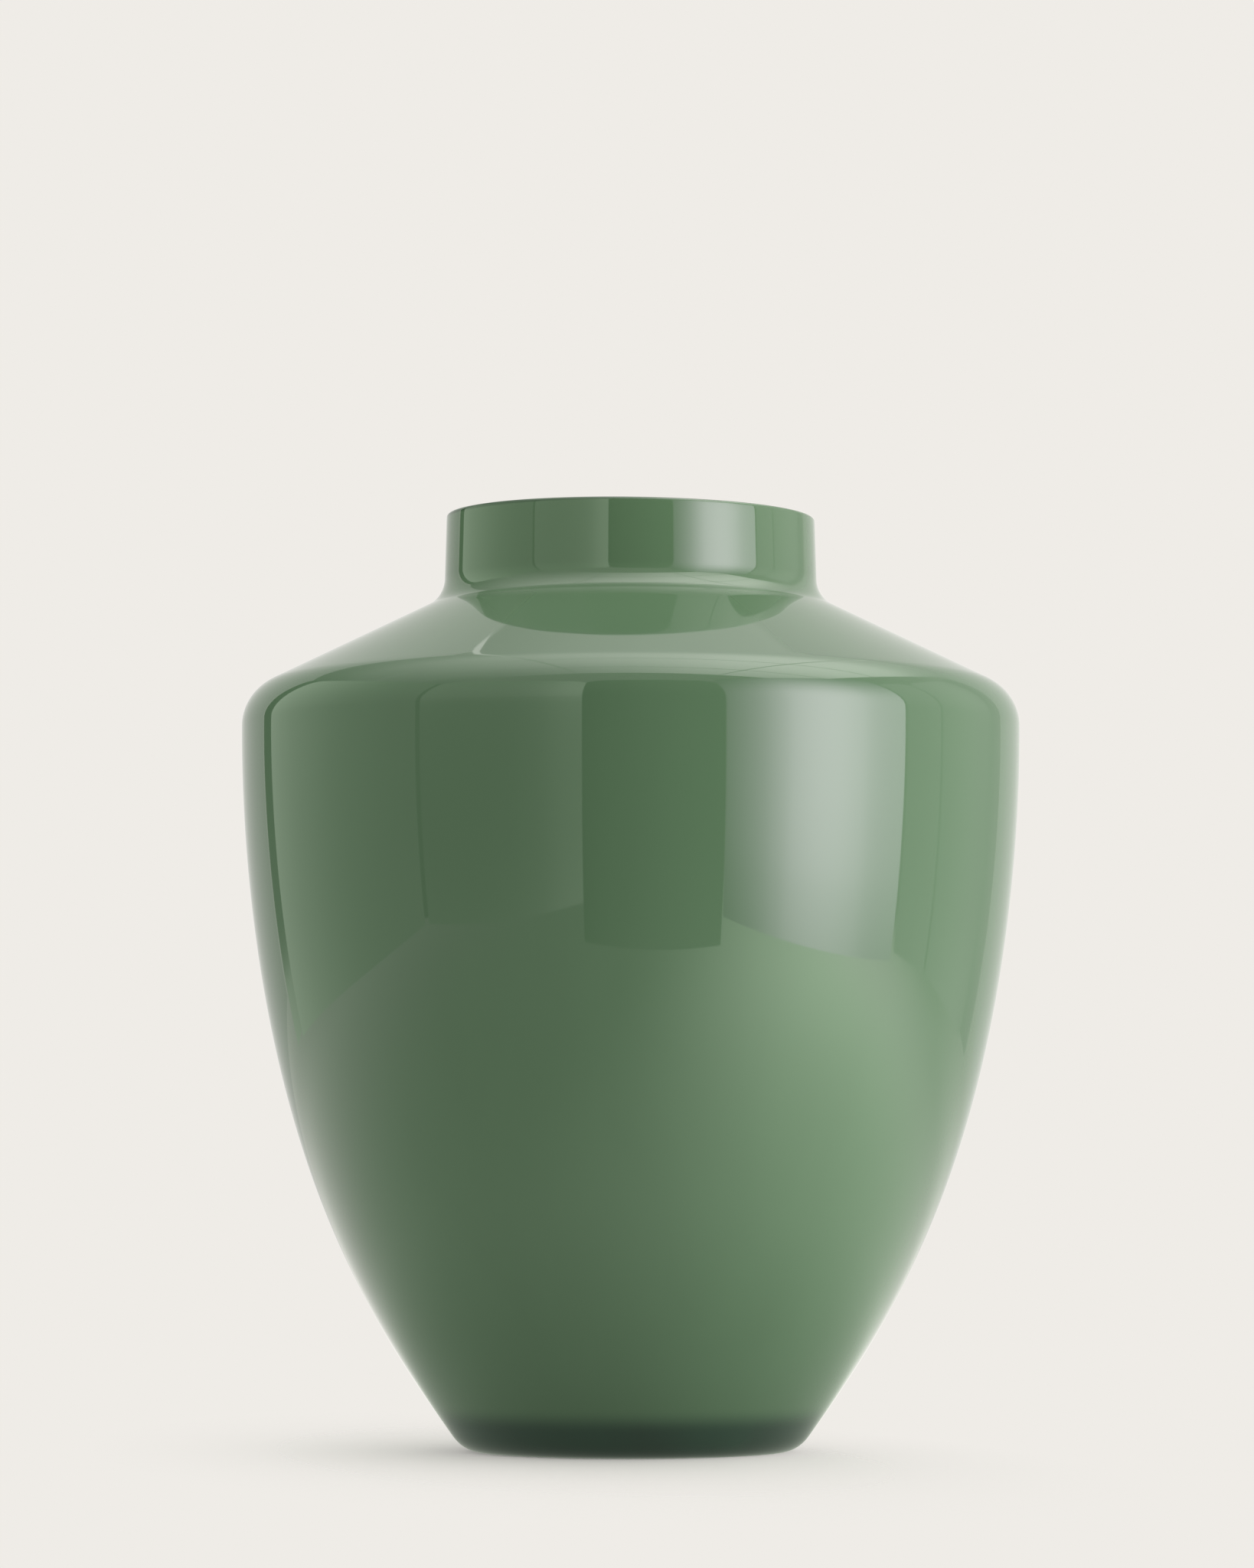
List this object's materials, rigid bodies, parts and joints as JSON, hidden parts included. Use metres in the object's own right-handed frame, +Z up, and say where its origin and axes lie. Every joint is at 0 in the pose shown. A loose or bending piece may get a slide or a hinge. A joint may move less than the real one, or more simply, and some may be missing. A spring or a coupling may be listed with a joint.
{
  "type": "blown glass vase",
  "caption": "Round-shouldered blown glass vase with a short straight neck: green casing over an opal lining on a thick base.",
  "frame": {"origin": "centre of the resting face, on the surface the vase stands on", "axes": "+Z up along the axis of revolution, through the middle of the mouth; the vase is round, so +X and +Y are free"},
  "size_m": [0.2502, 0.2502, 0.3],
  "materials": {
    "green_glass": "fire-polished, mirror gloss, deep grey-green over opal white",
    "opal_glass": "opal white, glossy inside, fused to the casing outside",
    "base_glass": "thick green glass that reads almost black, polished side and ground resting ring"
  },
  "bodies": {
    "root": {"green_casing": "green_glass", "opal_lining": "opal_glass", "base_gather": "base_glass"}
  },
  "joints": []
}
